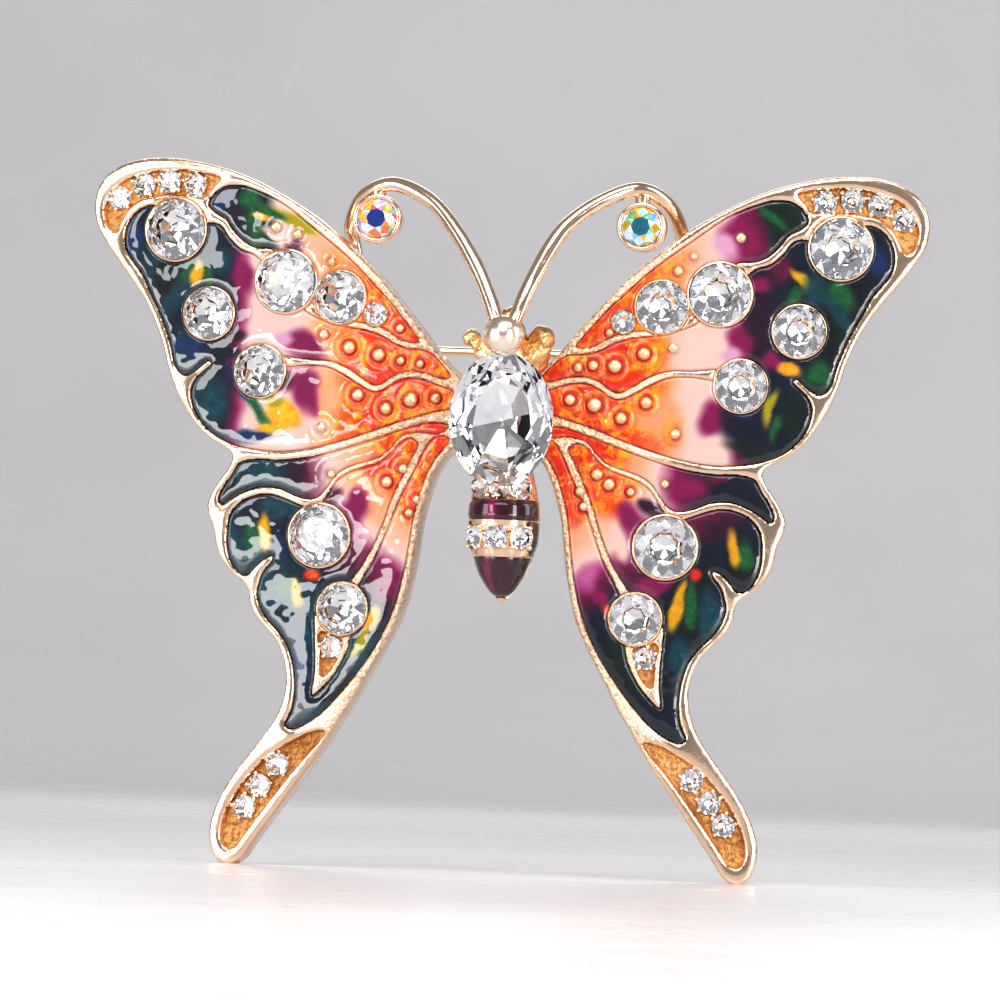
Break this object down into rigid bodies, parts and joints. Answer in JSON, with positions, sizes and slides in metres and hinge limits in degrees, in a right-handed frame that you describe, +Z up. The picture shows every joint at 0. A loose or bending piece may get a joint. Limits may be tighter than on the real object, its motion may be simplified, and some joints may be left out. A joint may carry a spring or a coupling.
{
  "type": "butterfly brooch",
  "caption": "Butterfly brooch: enamelled cast wings with set crystals, oval centre stone, wire antennae, and a hinged back pin with a turning safety catch.",
  "frame": {"origin": "the middle of the pin's needle, where the cloth holds it", "axes": "+Z up as it is worn, -Y the jewelled front, +X to the right of someone looking at the front"},
  "size_m": [0.0624, 0.0154, 0.0522],
  "materials": {
    "rose_gold": "polished plating",
    "pin_metal": "satin plating",
    "crystal": "faceted, foiled back",
    "aurora_crystal": "faceted, rainbow coated",
    "enamel_warm": "glossy translucent enamel",
    "enamel_dark": "glossy swirled enamel",
    "enamel_plum": "glossy translucent enamel"
  },
  "bodies": {
    "brooch": {"body_casting": "rose_gold", "abdomen_enamel": "enamel_plum", "stone_abdomen_upper_1": "crystal", "stone_abdomen_upper_2": "crystal", "stone_abdomen_upper_3": "crystal", "stone_abdomen_lower_1": "crystal", "stone_abdomen_lower_2": "crystal", "stone_abdomen_lower_3": "crystal", "oval_stone": "crystal", "left_wing": "rose_gold", "left_enamel_front": "enamel_warm", "left_enamel_main": "enamel_warm", "left_enamel_hind_top": "enamel_dark", "left_enamel_hind": "enamel_dark", "left_stone_tip_large": "crystal", "left_stone_mid_large": "crystal", "left_stone_inner_mid": "crystal", "left_stone_outer_mid": "crystal", "left_stone_vein_mid": "crystal", "left_stone_inner_small": "crystal", "left_stone_hind_large": "crystal", "left_stone_hind_mid": "crystal", "left_stone_teardrop": "crystal", "left_stone_tail_1": "crystal", "left_stone_tail_2": "crystal", "left_stone_tail_3": "crystal", "left_stone_row_1": "crystal", "left_stone_row_2": "crystal", "left_stone_row_3": "crystal", "left_stone_row_4": "crystal", "right_wing": "rose_gold", "right_enamel_front": "enamel_warm", "right_enamel_main": "enamel_warm", "right_enamel_hind_top": "enamel_dark", "right_enamel_hind": "enamel_dark", "right_stone_tip_large": "crystal", "right_stone_mid_large": "crystal", "right_stone_inner_mid": "crystal", "right_stone_outer_mid": "crystal", "right_stone_vein_mid": "crystal", "right_stone_inner_small": "crystal", "right_stone_hind_large": "crystal", "right_stone_hind_mid": "crystal", "right_stone_teardrop": "crystal", "right_stone_tail_1": "crystal", "right_stone_tail_2": "crystal", "right_stone_tail_3": "crystal", "right_stone_row_1": "crystal", "right_stone_row_2": "crystal", "right_stone_row_3": "crystal", "right_stone_row_4": "crystal", "antennae": "rose_gold", "left_antenna_stone": "aurora_crystal", "right_antenna_stone": "aurora_crystal", "pin_hinge": "rose_gold", "hinge_rivet": "pin_metal", "safety_catch": "rose_gold"},
    "needle": {"pin_needle": "pin_metal"},
    "lock": {"lock_sleeve": "rose_gold"}
  },
  "joints": [
    {"name": "needle_hinge", "type": "hinge", "parent": "brooch", "child": "needle", "pos_m": [-0.0125, 0, 0], "axis": [0, 0, 1], "range_deg": [0, 100]},
    {"name": "lock_turn", "type": "hinge", "parent": "brooch", "child": "lock", "pos_m": [0.0126, 0, 0], "axis": [1, 0, 0], "range_deg": [0, 100]}
  ]
}
